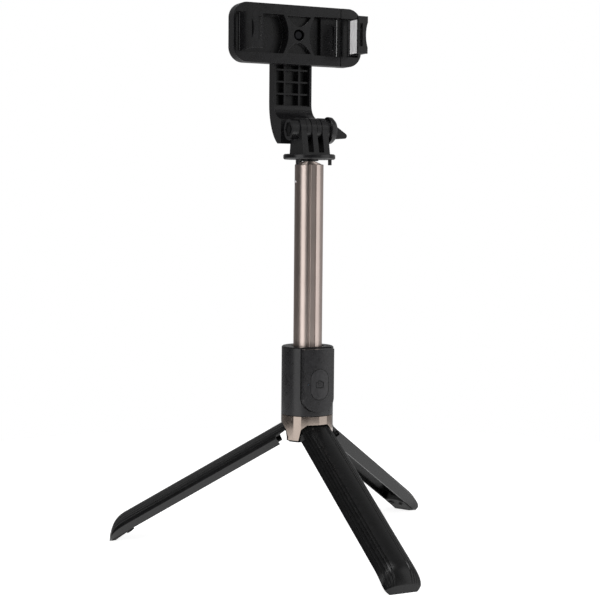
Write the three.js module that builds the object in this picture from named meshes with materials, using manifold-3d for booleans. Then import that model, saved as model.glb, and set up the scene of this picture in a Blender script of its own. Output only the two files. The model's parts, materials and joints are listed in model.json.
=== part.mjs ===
// Tripod selfie stick: a round handle with three fold-out legs, a pull-out Bluetooth remote,
// a five-section telescopic tube, a tilting bracket and a spring-loaded phone clamp.
// Millimetres, +Z up. The stick's axis is X = 0, Y = 0 while the parts are made, the remote faces -Y.
import * as THREE from 'three';
import { mergeVertices } from 'three/addons/utils/BufferGeometryUtils.js';
import Module from 'manifold-3d';

// ---- driving dimensions -------------------------------------------------------------------
const GAP = 0.3; // clearance between neighbouring pieces

const HANDLE_RADIUS = 16.5;
const COLLAR_BOTTOM = 84.6;
const COLLAR_TOP = 127.7;
const RING_TOP = COLLAR_BOTTOM - GAP;
const RING_BAND_BOTTOM = 79;
const TONGUE_BOTTOM = 69;

const LEG_RADIUS = 16.3; // outer face of a closed leg, from the stick's axis
const LEG_WALL = 1.6;
const LEG_HALF_ANGLE = 52; // degrees, half of a leg's outer arc
const LEG_TOP = 66.6; // top of the full-width channel, leg closed
const LEG_HEAD_TOP = RING_BAND_BOTTOM - 0.45;
const LEG_TIP = -61; // chin of the nose, leg closed
const CHIN_DEPTH = 5.34; // distance of a closed leg's inner edges from the stick's axis
const CHIN_HALF_WIDTH = 8.75;
const CHANNEL_MOUTH = 7.9; // half-width of the channel where it opens towards the tube
const PIVOT_RADIUS = 12; // leg hinge pin, distance from the stick's axis
const PIVOT_HEIGHT = 75.7;
const PIN_RADIUS = 1;
const LEG_OPEN_ANGLE = 59.2; // degrees from closed to standing
const LEG_DIRECTIONS = { front: 0, right: 120, left: -120 }; // degrees about Z from -Y

const TUBE_BOTTOM = 95.3;
const TUBE_TOP = 242.4;
const TUBE_SECTIONS = [
  { outer: 9.1, inner: 7.95 },
  { outer: 7.65, inner: 7.0 },
  { outer: 6.7, inner: 6.05 },
  { outer: 5.75, inner: 5.1 },
  { outer: 4.8, inner: 4.15 },
];
const SECTION_STEP = 7; // each section starts this much above the one around it
const RIM_STEP = 0.45; // and ends this much above it
const GROOVE_ANGLE = -9; // degrees about Z from -Y
const GROOVE_WIDTH = 3.1;
const GROOVE_DEPTH = 0.7;

const DISC_BOTTOM = 245.5;
const DISC_TOP = 248.8;
const DISC_RADIUS = 16.4;
const PEG_CIRCLE = 13;
const PEG_RADIUS = 1.2;
const PEG_LENGTH = 3.5;
const HINGE_HEIGHT = 264;
const PRONG_RADIUS = 7.6;

const ARM_HALF_WIDTH = 13.4;
const ARM_FRONT = 24.9;
const ARM_BACK = 32.4;
const PIVOT_DISC_RADIUS = 17;

const CLAMP_CENTRE = 324.8; // height of the clamp's swivel axis
const CLAMP_FRONT = 16.2;
const CLAMP_BACK = ARM_FRONT - GAP;
const CLAMP_HALF_HEIGHT = 18.6;
const CLAMP_LEFT = -45.4;
const CLAMP_SEAM = 29.6;
const CLAMP_RIGHT = 44.6;
const CLAMP_CORNER = 9.5;
const WINDOW_HALF_HEIGHT = 12.2;
const COVER_THICKNESS = 1.1;
const RAIL_CENTRE = 15.4; // rail cavity, distance from the clamp's middle height
const RAIL_DEPTH = 20.2; // and its place in Y

const JAW_LENGTH = 22.8;
const JAW_WALL = 1.5;
const JAW_LIP = 5.6; // reach of the lip's tip from the hinge line
const JAW_FLANGE = 1.25; // and of its outer edge, the other way
const LIP_THICKNESS = 1.8;
const JAW_HALF_HEIGHT = 11.7;
const JAW_HINGE_Y = 17.6;
const JAW_BARREL_RADIUS = 1.3;
const JAW_LEFT_X = -40.3;
const JAW_RIGHT_X = 36.8;

// ---- solid modelling ----------------------------------------------------------------------
const wasm = await Module();
wasm.setup();

function toManifold(geometry) {
  const bare = geometry.clone();
  bare.deleteAttribute('normal');
  bare.deleteAttribute('uv');
  const merged = mergeVertices(bare, 1e-4);
  const index = merged.index.array;
  const triangles = [];
  for (let i = 0; i < index.length; i += 3) {
    const [a, b, c] = [index[i], index[i + 1], index[i + 2]];
    if (a !== b && b !== c && c !== a) triangles.push(a, b, c);
  }
  return new wasm.Manifold(new wasm.Mesh({
    numProp: 3,
    vertProperties: new Float32Array(merged.attributes.position.array),
    triVerts: new Uint32Array(triangles),
  }));
}

function toGeometry(manifold) {
  const mesh = manifold.getMesh();
  const geometry = new THREE.BufferGeometry();
  geometry.setAttribute('position', new THREE.BufferAttribute(new Float32Array(mesh.vertProperties), 3));
  geometry.setIndex(new THREE.BufferAttribute(new Uint32Array(mesh.triVerts), 1));
  geometry.computeVertexNormals();
  return geometry;
}

function combine(operation, first, others) {
  let result = toManifold(first);
  for (const other of others) result = result[operation](toManifold(other));
  return toGeometry(result);
}

const join = (first, ...others) => combine('add', first, others);
const cut = (first, ...others) => combine('subtract', first, others);
const common = (first, ...others) => combine('intersect', first, others);

// A point at an angle (degrees) about Z, measured from -Y towards +X.
function polar(radius, degrees) {
  const angle = THREE.MathUtils.degToRad(degrees);
  return [radius * Math.sin(angle), -radius * Math.cos(angle)];
}

function outline(points) {
  return new THREE.Shape(points.map(([x, y]) => new THREE.Vector2(x, y)));
}

function roundedRectangle(x0, x1, y0, y1, radius) {
  const shape = new THREE.Shape();
  shape.moveTo(x0 + radius, y0);
  shape.lineTo(x1 - radius, y0);
  shape.absarc(x1 - radius, y0 + radius, radius, -Math.PI / 2, 0);
  shape.lineTo(x1, y1 - radius);
  shape.absarc(x1 - radius, y1 - radius, radius, 0, Math.PI / 2);
  shape.lineTo(x0 + radius, y1);
  shape.absarc(x0 + radius, y1 - radius, radius, Math.PI / 2, Math.PI);
  shape.lineTo(x0, y0 + radius);
  shape.absarc(x0 + radius, y0 + radius, radius, Math.PI, 1.5 * Math.PI);
  return shape;
}

function circle(radius, x = 0, y = 0) {
  const shape = new THREE.Shape();
  shape.absarc(x, y, radius, 0, 2 * Math.PI);
  return shape;
}

// A shape drawn in X and Y, between two heights.
function slabZ(shape, z0, z1, curveSegments = 6) {
  const slab = new THREE.ExtrudeGeometry(shape, { depth: z1 - z0, bevelEnabled: false, curveSegments });
  return slab.translate(0, 0, z0);
}

// A shape drawn in X and Z, between two values of Y.
function slabY(shape, y0, y1, curveSegments = 6) {
  return slabZ(shape, -y1, -y0, curveSegments).rotateX(Math.PI / 2);
}

// A shape drawn in Y and Z, between two values of X.
function slabX(shape, x0, x1, curveSegments = 6) {
  const turn = new THREE.Matrix4().set(0, 0, 1, 0, 1, 0, 0, 0, 0, 1, 0, 0, 0, 0, 0, 1);
  return slabZ(shape, x0, x1, curveSegments).applyMatrix4(turn);
}

function block(x0, x1, y0, y1, z0, z1) {
  const box = new THREE.BoxGeometry(x1 - x0, y1 - y0, z1 - z0);
  return box.translate((x0 + x1) / 2, (y0 + y1) / 2, (z0 + z1) / 2);
}

// A turned piece about Z; the profile lists [radius, height] anticlockwise.
function turned(profile, segments = 48) {
  const points = [...profile, profile[0]].map(([r, z]) => new THREE.Vector2(r, z));
  return new THREE.LatheGeometry(points, segments).rotateX(Math.PI / 2);
}

function rodZ(radius, z0, z1, x = 0, y = 0, segments = 20) {
  const rod = turned([[0, z0], [radius, z0], [radius, z1], [0, z1]], segments);
  return rod.translate(x, y, 0);
}

function rodX(radius, x0, x1, y, z, segments = 20) {
  return rodZ(radius, x0, x1, 0, 0, segments).rotateY(Math.PI / 2).translate(0, y, z);
}

function rodY(radius, y0, y1, x, z, segments = 20) {
  return rodZ(radius, -y1, -y0, 0, 0, segments).rotateX(Math.PI / 2).translate(x, 0, z);
}

function sleeve(inner, outer, z0, z1, segments = 48) {
  return turned([[inner, z0], [outer, z0], [outer, z1], [inner, z1]], segments);
}

// ---- materials ----------------------------------------------------------------------------
function finish(color, roughness, metalness) {
  return new THREE.MeshStandardMaterial({ color, roughness, metalness });
}

const charcoalPlastic = finish('#2d2c2e', 0.5, 0);
const blackPlastic = finish('#161616', 0.45, 0);
const matteBlack = finish('#1f1e20', 0.6, 0);
const bronzeMirror = finish('#8f7f6e', 0.15, 1);
const roseAnodised = finish('#b8a49b', 0.35, 1);
const brightSteel = finish('#c4c4c6', 0.25, 1);
const blackRubber = finish('#1a1a1a', 0.85, 0);
const greyPad = finish('#c8c7c8', 0.8, 0);
const whiteNylon = finish('#dcdad4', 0.6, 0);
const boardGreen = finish('#1f5b3a', 0.55, 0);
const clearLens = finish('#5c6a80', 0.2, 0);
const blackSteel = finish('#26262a', 0.4, 1);

const product = new THREE.Group();

function add(name, geometry, material, parent = product) {
  const mesh = new THREE.Mesh(geometry, material);
  mesh.name = name;
  parent.add(mesh);
}

// ---- handle: collar, polished ring, hub and guide sleeve ----------------------------------
const REMOTE_HALF_WIDTH = 10.5;
const REMOTE_BOTTOM = 87.6;
const REMOTE_TOP = 127;
const REMOTE_BACK = -11.4;
const REMOTE_CORNER = 8.6;

// Front view of the remote: straight sides and a round bottom, grown by a clearance.
function remoteOutline(clearance = 0, top = REMOTE_TOP) {
  const half = REMOTE_HALF_WIDTH + clearance;
  const bottom = REMOTE_BOTTOM - clearance;
  const corner = REMOTE_CORNER + clearance;
  const shape = new THREE.Shape();
  shape.moveTo(-half, top);
  shape.lineTo(-half, bottom + corner);
  shape.absarc(-half + corner, bottom + corner, corner, Math.PI, 1.5 * Math.PI);
  shape.lineTo(half - corner, bottom);
  shape.absarc(half - corner, bottom + corner, corner, -Math.PI / 2, 0);
  shape.lineTo(half, top);
  return shape;
}

function collarBody() {
  const bore = 10.3;
  const chamfer = 0.6;
  let body = turned([
    [bore, COLLAR_BOTTOM],
    [HANDLE_RADIUS, COLLAR_BOTTOM],
    [HANDLE_RADIUS, COLLAR_TOP - chamfer],
    [HANDLE_RADIUS - chamfer, COLLAR_TOP],
    [bore, COLLAR_TOP],
  ], 64);
  body = cut(body, slabY(remoteOutline(GAP, COLLAR_TOP + 5), -HANDLE_RADIUS - 5, REMOTE_BACK + GAP, 10));
  for (const angle of [60, 180, -60]) {
    const [x, y] = polar(PEG_CIRCLE, angle);
    body = cut(body, rodZ(PEG_RADIUS + GAP, COLLAR_TOP - PEG_LENGTH - 1, COLLAR_TOP + 1, x, y, 16));
  }
  return body;
}

// Opening for one leg, seen from the front, with its shoulders cut back to a flat top.
function legOpening(top, flatHalfWidth) {
  return outline([
    [-11.7, TONGUE_BOTTOM - 5],
    [11.7, TONGUE_BOTTOM - 5],
    [11.6, TONGUE_BOTTOM],
    [10.4, 76],
    [flatHalfWidth, top],
    [-flatHalfWidth, top],
    [-10.4, 76],
    [-11.6, TONGUE_BOTTOM],
  ]);
}

function degrees(angle) {
  return THREE.MathUtils.degToRad(angle);
}

function baseRing() {
  let ring = turned([
    [15.5, TONGUE_BOTTOM],
    [HANDLE_RADIUS, TONGUE_BOTTOM],
    [HANDLE_RADIUS, RING_TOP],
    [15.5, RING_TOP],
  ], 72);
  for (const direction of Object.values(LEG_DIRECTIONS)) {
    const opening = slabY(legOpening(RING_BAND_BOTTOM, 7), -20, -4);
    ring = cut(ring, opening.rotateZ(degrees(direction)));
  }
  return ring;
}

// Hub inside the ring: a bored core and top flange, with a hinge knuckle for each leg.
function legHub() {
  let hub = sleeve(9.5, 15.2, TONGUE_BOTTOM - 1.2, RING_TOP, 64);
  const knuckle = new THREE.Shape();
  knuckle.moveTo(-10, PIVOT_HEIGHT - 2.4);
  knuckle.lineTo(-10, PIVOT_HEIGHT + 2.4);
  knuckle.absarc(-PIVOT_RADIUS, PIVOT_HEIGHT, 2, 0.5 * Math.PI, 1.5 * Math.PI);
  for (const direction of Object.values(LEG_DIRECTIONS)) {
    const place = (geometry) => geometry.rotateZ(degrees(direction));
    hub = cut(hub, place(slabY(legOpening(82.4, 10.4), -20, -10.5)));
    for (const middle of [-5.2, 5.2]) {
      hub = cut(hub, place(block(middle - 1.7, middle + 1.7, -12, -9.5, 60, 79)));
    }
    hub = join(hub, place(slabX(knuckle, -3.3, 3.3)));
    hub = cut(hub, place(rodX(PIN_RADIUS + GAP / 2, -4, 4, -PIVOT_RADIUS, PIVOT_HEIGHT, 16)));
  }
  return hub;
}

// Thin nylon liner of the collar, with two slots for the nubs on the tube.
function guideSleeve() {
  const liner = sleeve(9.4, 10, COLLAR_BOTTOM + 0.4, COLLAR_TOP - 0.6);
  const slot = block(-12, 12, -1.3, 1.3, 110, COLLAR_TOP + 1);
  return cut(liner, slot);
}

add('collar_body', collarBody(), charcoalPlastic);
add('base_ring', baseRing(), bronzeMirror);
add('leg_hub', legHub(), blackPlastic);
add('guide_sleeve', guideSleeve(), whiteNylon);

// ---- legs ---------------------------------------------------------------------------------
const GROOVE_CENTRES = [20, 27, 34, 41];

// The grooved outer arc of a leg, from one edge to the other.
function groovedArc() {
  const centres = [...GROOVE_CENTRES.map((angle) => -angle).reverse(), ...GROOVE_CENTRES];
  const points = [polar(LEG_RADIUS, -LEG_HALF_ANGLE), polar(LEG_RADIUS, -47)];
  for (const centre of centres) {
    if (centre === GROOVE_CENTRES[0]) {
      for (let angle = -12; angle <= 12; angle += 6) points.push(polar(LEG_RADIUS, angle));
    }
    points.push(polar(LEG_RADIUS, centre - 1.7));
    points.push(polar(LEG_RADIUS - 0.4, centre - 1));
    points.push(polar(LEG_RADIUS - 0.4, centre + 1));
    points.push(polar(LEG_RADIUS, centre + 1.7));
  }
  points.push(polar(LEG_RADIUS, 47), polar(LEG_RADIUS, LEG_HALF_ANGLE));
  return points;
}

// Side view of the nose, in Y and Z: a dome that ends in a short flat face above the chin.
function noseProfile(inset) {
  return outline([
    [-20, 100],
    [-20, -46],
    [-LEG_RADIUS + inset, -46],
    [-15.7 + inset, -50],
    [-14.3 + inset * 0.9, -53.5 + inset * 0.4],
    [-12.2 + inset * 0.7, -56.7 + inset * 0.7],
    [-9.5 + inset * 0.4, -59.1 + inset],
    [-CHIN_DEPTH, LEG_TIP + inset],
    [0, LEG_TIP + inset],
    [0, 100],
  ]);
}

// Cross-section of the space inside a leg, shrunk by a clearance.
function channelOutline(clearance) {
  const points = [];
  for (let angle = -46; angle <= 46; angle += 11.5) {
    points.push(polar(LEG_RADIUS - LEG_WALL - clearance, angle * (1 - clearance / 12)));
  }
  const mouth = CHANNEL_MOUTH - clearance;
  points.push([mouth, -6.3], [mouth, -4], [-mouth, -4], [-mouth, -6.3]);
  return outline(points);
}

// One leg, closed, in front of the stick: a ribbed channel with a domed nose and two hinge lugs.
function legShell() {
  const section = outline([
    ...groovedArc(),
    [CHIN_HALF_WIDTH, -CHIN_DEPTH],
    [-CHIN_HALF_WIDTH, -CHIN_DEPTH],
  ]);
  const outside = common(slabZ(section, LEG_TIP, LEG_TOP), slabX(noseProfile(0), -20, 20));
  const inside = common(slabZ(channelOutline(0), LEG_TIP - 1, LEG_TOP + 1), slabX(noseProfile(1.8), -20, 20));
  let leg = cut(outside, inside);
  for (const height of [-30, 0, 30]) {
    const channel = slabZ(channelOutline(-0.1), height - 0.8, height + 0.8);
    leg = join(leg, common(channel, block(-20, 20, -20, -11.4, -70, 70)));
  }
  const headBand = slabZ(outline([
    ...[-44, -33, -22, -11, 0, 11, 22, 33, 44].map((angle) => polar(LEG_RADIUS, angle)),
    ...[44, 33, 22, 11, 0, -11, -22, -33, -44].map((angle) => polar(LEG_RADIUS - LEG_WALL, angle)),
  ]), LEG_TOP - 6, LEG_HEAD_TOP);
  const headOutline = outline([
    [-12, LEG_TOP - 7],
    [12, LEG_TOP - 7],
    [12, LEG_TOP],
    [11.1, TONGUE_BOTTOM],
    [9.9, 75.1],
    [4.4, LEG_HEAD_TOP + 0.1],
    [-4.4, LEG_HEAD_TOP + 0.1],
    [-9.9, 75.1],
    [-11.1, TONGUE_BOTTOM],
    [-12, LEG_TOP],
  ]);
  leg = join(leg, common(headBand, slabY(headOutline, -20, 0)));
  const easedEdge = turned([[16.4, 77.5], [18, 77.5], [18, 80], [15.5, 80], [15.5, LEG_HEAD_TOP]], 48);
  leg = cut(leg, easedEdge);
  const lug = new THREE.Shape();
  lug.moveTo(-15.6, 68);
  lug.lineTo(-14, 65);
  lug.lineTo(-11.6, PIVOT_HEIGHT - 2.4);
  lug.absarc(-PIVOT_RADIUS, PIVOT_HEIGHT, 2.2, -0.4 * Math.PI, 0.5 * Math.PI);
  lug.lineTo(-15.6, PIVOT_HEIGHT + 2.2);
  for (const middle of [-5.2, 5.2]) {
    leg = join(leg, common(slabX(lug, middle - 1.4, middle + 1.4), rodZ(15.6, 60, 80, 0, 0, 48)));
  }
  return cut(leg, rodX(PIN_RADIUS + GAP / 2, -6.8, 6.8, -PIVOT_RADIUS, PIVOT_HEIGHT, 16));
}

// Rubber foot inside the nose: an arched plate with a ground face, a peg and a ring.
function footInsert() {
  const open = degrees(LEG_OPEN_ANGLE);
  const ground = (distance) => [
    -CHIN_DEPTH + distance * Math.cos(open),
    LEG_TIP + distance * Math.sin(open),
  ];
  const profile = outline([
    ground(0.7),
    ground(3.4),
    [-4.2, -53],
    [-5.2, -42.5],
    [-8, -42],
    [-12.2, -45],
    [-13.2, -50],
    [-11.6, -53.4],
    [-9.6, -55.6],
    [-7.2, -57.3],
    [-CHIN_DEPTH + 0.34, -58.3],
  ]);
  const arched = new THREE.Shape();
  arched.moveTo(-10, -62);
  arched.lineTo(10, -62);
  arched.lineTo(10, -52);
  arched.absarc(0, -52, 10, 0, Math.PI);
  const wedge = outline([[0, -0.4], [20, -0.4 - 20 / 1.74], [20, -20], [-20, -20], [-20, -0.4 - 20 / 1.74]]);
  const chinSide = slabZ(wedge, -70, -40);
  let foot = common(
    slabX(profile, -9.2, 9.2),
    slabY(arched, -20, 0, 12),
    join(slabZ(channelOutline(GAP), -70, -40), block(-8.6, 8.6, -5, 0, -62, -56)),
    chinSide,
  );
  foot = join(foot, rodY(1.25, -8, -3.2, -3.7, -47.5, 12));
  const ring = cut(rodY(2.1, -8, -3.7, 3.7, -47.5, 16), rodY(1.1, -5.6, 0, 3.7, -47.5, 12));
  return cut(join(foot, ring), rodY(1.1, -5.6, 0, 3.7, -47.5, 12));
}

function legPin() {
  return rodX(PIN_RADIUS, -6.3, 6.3, -PIVOT_RADIUS, PIVOT_HEIGHT, 16);
}

// Closed-leg geometry turned about its pin into the standing position.
function standing(geometry) {
  geometry.translate(0, PIVOT_RADIUS, -PIVOT_HEIGHT);
  geometry.rotateX(-degrees(LEG_OPEN_ANGLE));
  return geometry.translate(0, -PIVOT_RADIUS, PIVOT_HEIGHT);
}

for (const [side, direction] of Object.entries(LEG_DIRECTIONS)) {
  const leg = new THREE.Group();
  leg.rotation.z = degrees(direction);
  add(`leg_${side}`, standing(legShell()), blackPlastic, leg);
  add(`foot_${side}`, standing(footInsert()), blackRubber, leg);
  add(`leg_pin_${side}`, legPin(), brightSteel, leg);
  product.add(leg);
}

// ---- Bluetooth remote ---------------------------------------------------------------------
const REMOTE_PARTING = -14.2;
const REMOTE_FACE = -18.2;
const REMOTE_FACE_RADIUS = 43;
const BUTTON_CENTRE = 104.9;
const BUTTON_HALF_WIDTH = 6;
const BUTTON_HALF_HEIGHT = 9.6;

// The gently curved front of the remote: everything behind a wide arc, inset by a thickness.
function behindRemoteFace(inset) {
  const face = circle(REMOTE_FACE_RADIUS - inset, 0, REMOTE_FACE + REMOTE_FACE_RADIUS);
  return slabZ(face, 80, 135, 90);
}

function insetRemote(inset) {
  const half = REMOTE_HALF_WIDTH - inset;
  return roundedRectangle(-half, half, REMOTE_BOTTOM + inset, REMOTE_TOP - inset, REMOTE_CORNER - inset);
}

function buttonOval(clearance) {
  const half = BUTTON_HALF_WIDTH + clearance;
  const tall = BUTTON_HALF_HEIGHT + clearance;
  return roundedRectangle(-half, half, BUTTON_CENTRE - tall, BUTTON_CENTRE + tall, half - 0.01);
}

function remoteFrontShell() {
  const outside = common(slabY(remoteOutline(), -20, REMOTE_PARTING - 0.1, 10), behindRemoteFace(0));
  const inside = common(slabY(insetRemote(1.2), -20, REMOTE_PARTING + 1), behindRemoteFace(1.2));
  const buttonHole = slabY(buttonOval(0.25), -20, REMOTE_PARTING + 1, 8);
  const lensHole = rodY(0.65, -20, REMOTE_PARTING, -7.6, BUTTON_CENTRE, 12);
  return cut(outside, inside, buttonHole, lensHole);
}

function remoteBackShell() {
  const outside = slabY(remoteOutline(), REMOTE_PARTING + 0.1, REMOTE_BACK, 10);
  return cut(outside, slabY(insetRemote(1.2), REMOTE_PARTING - 1, REMOTE_BACK - 0.9, 6));
}

function remoteButton() {
  const cap = common(slabY(buttonOval(0), -20, REMOTE_PARTING - 1.4, 8), behindRemoteFace(0));
  const flange = slabY(buttonOval(0.9), REMOTE_PARTING - 2, REMOTE_PARTING - 1.4, 6);
  const dimple = rodY(2.6, -20, REMOTE_FACE + 0.25, 0, BUTTON_CENTRE, 20);
  return cut(join(cap, flange), cut(dimple, rodY(1.3, -21, REMOTE_FACE + 1, 0, BUTTON_CENTRE, 16)));
}

add('remote_front_shell', remoteFrontShell(), charcoalPlastic);
add('remote_back_shell', remoteBackShell(), charcoalPlastic);
add('remote_button', remoteButton(), matteBlack);
add('remote_indicator', rodY(0.45, -17.2, -14.9, -7.6, BUTTON_CENTRE, 10), clearLens);
add('remote_circuit_board', slabY(insetRemote(1.8), -14.5, -13.9, 5), boardGreen);
add('remote_switch', rodY(2.2, -15.2, -14.8, 0, BUTTON_CENTRE, 16), brightSteel);
add('remote_battery', rodY(6.2, -13.6, -12.6, 0, 103, 28), brightSteel);

// ---- telescopic tube ----------------------------------------------------------------------
function tubeSection(index) {
  const { outer, inner } = TUBE_SECTIONS[index];
  const bottom = TUBE_BOTTOM + index * SECTION_STEP;
  const top = TUBE_TOP + index * RIM_STEP;
  const tube = sleeve(inner, outer, bottom, top, index === 0 ? 48 : 32);
  if (index > 0) return tube;
  const groove = block(-GROOVE_WIDTH / 2, GROOVE_WIDTH / 2, -20, -outer + GROOVE_DEPTH, bottom - 1, top + 1);
  return cut(tube, groove.rotateZ(degrees(GROOVE_ANGLE)));
}

// Nylon ring at the lower end of a sliding section, which rides inside the section around it.
function slideBush(index) {
  const bottom = TUBE_BOTTOM + index * SECTION_STEP;
  const { inner } = TUBE_SECTIONS[index];
  return sleeve(inner, TUBE_SECTIONS[index - 1].inner - 0.2, bottom - 5.8, bottom - 0.3, 28);
}

TUBE_SECTIONS.forEach((section, index) => {
  add(index === 0 ? 'tube_outer' : `tube_section_${index + 1}`, tubeSection(index), roseAnodised);
  if (index > 0) add(`slide_bush_${index + 1}`, slideBush(index), whiteNylon);
});

// Round-headed nub on the side of the outer tube.
function tubeNub(side) {
  const profile = [[0, 0], [0.8, 0], [0.8, 0.35], [0.45, 0.7], [0, 0.75]];
  const nub = turned(profile, 12).rotateY(side * Math.PI / 2);
  return nub.translate(side * (TUBE_SECTIONS[0].outer + 0.02), 0, 231.8);
}

add('tube_nub_left', tubeNub(-1), brightSteel);
add('tube_nub_right', tubeNub(1), brightSteel);

// ---- tilting head -------------------------------------------------------------------------
function headBase() {
  let head = turned([
    [0, DISC_BOTTOM - 8],
    [TUBE_SECTIONS[4].inner - GAP, DISC_BOTTOM - 8],
    [TUBE_SECTIONS[4].inner - GAP, DISC_BOTTOM - 0.9],
    [5.8, DISC_BOTTOM - 0.9],
    [5.8, DISC_BOTTOM],
    [DISC_RADIUS - 0.7, DISC_BOTTOM],
    [DISC_RADIUS, DISC_BOTTOM + 0.7],
    [DISC_RADIUS, DISC_TOP - 0.7],
    [DISC_RADIUS - 0.7, DISC_TOP],
    [0, DISC_TOP],
  ], 56);
  const prongs = new THREE.Shape();
  prongs.moveTo(-10.9, DISC_TOP - 1);
  prongs.lineTo(9.5, DISC_TOP - 1);
  prongs.absarc(0, HINGE_HEIGHT, PRONG_RADIUS, -0.06 * Math.PI, 1.04 * Math.PI);
  head = join(head, slabX(prongs, -9.3, 9.3, 16));
  for (const middle of [-3.55, 3.55]) {
    head = cut(head, block(middle - 1.85, middle + 1.85, -20, 20, DISC_TOP + 0.9, 290));
  }
  head = join(head, rodX(6.6, -14.6, -8.9, 0, HINGE_HEIGHT, 28));
  const nutPocket = rodX(4.95, -15, -10.4, 0, HINGE_HEIGHT, 6);
  head = cut(head, rodX(2.6, -20, 20, 0, HINGE_HEIGHT, 20), nutPocket);
  for (const angle of [60, 180, -60]) {
    const [x, y] = polar(PEG_CIRCLE, angle);
    head = join(head, rodZ(PEG_RADIUS, DISC_BOTTOM - PEG_LENGTH, DISC_BOTTOM + 1, x, y, 14));
  }
  return head;
}

// Thumb knob: a round hub and one flat wing, moulded over the head of the tilt bolt.
function tiltKnob() {
  const hub = turned([
    [2.6, 9.7],
    [6.6, 9.7],
    [6.6, 11.8],
    [8.2, 11.8],
    [8.6, 12.4],
    [8.4, 14.6],
    [6.8, 16.4],
    [0, 17.2],
    [0, 13],
    [2.6, 13],
  ], 32).rotateY(Math.PI / 2).translate(0, 0, HINGE_HEIGHT);
  const wing = new THREE.Shape();
  wing.moveTo(15, HINGE_HEIGHT - 5.6);
  wing.lineTo(23.8, HINGE_HEIGHT - 4.9);
  wing.absarc(24, HINGE_HEIGHT - 3.2, 1.7, -0.5 * Math.PI, 0.3 * Math.PI);
  wing.lineTo(17, HINGE_HEIGHT + 3.6);
  wing.lineTo(15, HINGE_HEIGHT + 5.4);
  return join(hub, slabY(wing, -1.7, 1.7));
}

function tiltNut() {
  const nut = rodX(4.6, -13.9, -10.7, 0, HINGE_HEIGHT, 6);
  return cut(nut, rodX(2.55, -20, 0, 0, HINGE_HEIGHT, 16));
}

add('head_base', headBase(), matteBlack);
add('tilt_bolt', rodX(2.25, -14.2, 12.7, 0, HINGE_HEIGHT, 18), blackSteel);
add('tilt_nut', tiltNut(), blackSteel);
add('tilt_knob', tiltKnob(), matteBlack);

// ---- bracket arm --------------------------------------------------------------------------
function bracketArm() {
  const side = new THREE.Shape();
  const foot = HINGE_HEIGHT - 8.2;
  side.moveTo(14, foot);
  side.lineTo(19, foot);
  side.bezierCurveTo(26, foot + 3.5, ARM_BACK, HINGE_HEIGHT + 6, ARM_BACK, HINGE_HEIGHT + 18);
  side.lineTo(ARM_BACK, CLAMP_CENTRE);
  side.lineTo(ARM_FRONT, CLAMP_CENTRE);
  side.lineTo(ARM_FRONT, HINGE_HEIGHT + 18);
  side.bezierCurveTo(ARM_FRONT, HINGE_HEIGHT + 12, 21, HINGE_HEIGHT + 8.6, 14, HINGE_HEIGHT + 7.2);
  let arm = slabX(side, -ARM_HALF_WIDTH, ARM_HALF_WIDTH, 12);
  const pivotDisc = rodY(PIVOT_DISC_RADIUS, ARM_FRONT, ARM_FRONT + 4.2, 0, CLAMP_CENTRE, 48);
  arm = join(arm, pivotDisc);

  const finger = new THREE.Shape();
  finger.moveTo(0, HINGE_HEIGHT - 7.4);
  finger.lineTo(15, HINGE_HEIGHT - 7.4);
  finger.lineTo(15, HINGE_HEIGHT + 7.4);
  finger.lineTo(0, HINGE_HEIGHT + 7.4);
  finger.absarc(0, HINGE_HEIGHT, 7.4, 0.5 * Math.PI, 1.5 * Math.PI);
  for (const middle of [-3.55, 3.55]) {
    arm = join(arm, slabX(finger, middle - 1.5, middle + 1.5, 14));
  }
  arm = cut(arm, rodX(2.6, -8, 8, 0, HINGE_HEIGHT, 20));

  const wall = 1.5;
  const ribX = 5.15;
  const inside = ARM_HALF_WIDTH - wall;
  const columns = [[-inside, -ribX - 0.6], [-ribX + 0.6, ribX - 0.6], [ribX + 0.6, inside]];
  const rows = [280.9, 288.6, 296.3, 304];
  arm = cut(arm, block(-inside, inside, 0, ARM_FRONT + 1.6, rows[0] - 0.6, 307));
  for (const [x0, x1] of columns) {
    rows.forEach((height, row) => {
      const cellTop = row < rows.length - 1 ? rows[row + 1] - 1.2 : 307;
      arm = cut(arm, block(x0, x1, 0, ARM_BACK - 1.6, height, cellTop));
    });
  }
  return cut(arm, rodY(2.3, 20, 40, 0, CLAMP_CENTRE, 20));
}

function pivotRivet() {
  return turned([
    [0, CLAMP_FRONT + 0.9],
    [2.2, CLAMP_FRONT + 0.9],
    [3.3, CLAMP_FRONT + 2],
    [3.3, CLAMP_FRONT + 2.6],
    [2, CLAMP_FRONT + 2.6],
    [2, ARM_BACK - 1],
    [0, ARM_BACK - 1],
  ], 24).rotateX(-Math.PI / 2).translate(0, 0, CLAMP_CENTRE);
}

add('bracket_arm', bracketArm(), matteBlack);
add('pivot_rivet', pivotRivet(), blackSteel);

// ---- phone clamp --------------------------------------------------------------------------
const WEB_HALF_WIDTH = 7.6; // narrowest half-width of the centre web
const SLIDER_ARM_START = -11;
const BRIDGE_LEFT = 17.6; // plate across the right window that ties the two rail arms together
const BRIDGE_RIGHT = 29.2;
const BRIDGE_FRONT = 20.95;
const BRIDGE_BACK = 23;

// The clamp's outer block, full depth, between two values of X.
function clampOutline(x0, x1) {
  const low = CLAMP_CENTRE - CLAMP_HALF_HEIGHT;
  const high = CLAMP_CENTRE + CLAMP_HALF_HEIGHT;
  const whole = roundedRectangle(CLAMP_LEFT, CLAMP_RIGHT, low, high, CLAMP_CORNER);
  const [y0, y1] = [CLAMP_FRONT, CLAMP_BACK];
  const slab = slabY(whole, y0, y1, 8);
  return common(slab, block(x0, x1, y0 - 1, y1 + 1, low - 1, high + 1));
}

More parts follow.
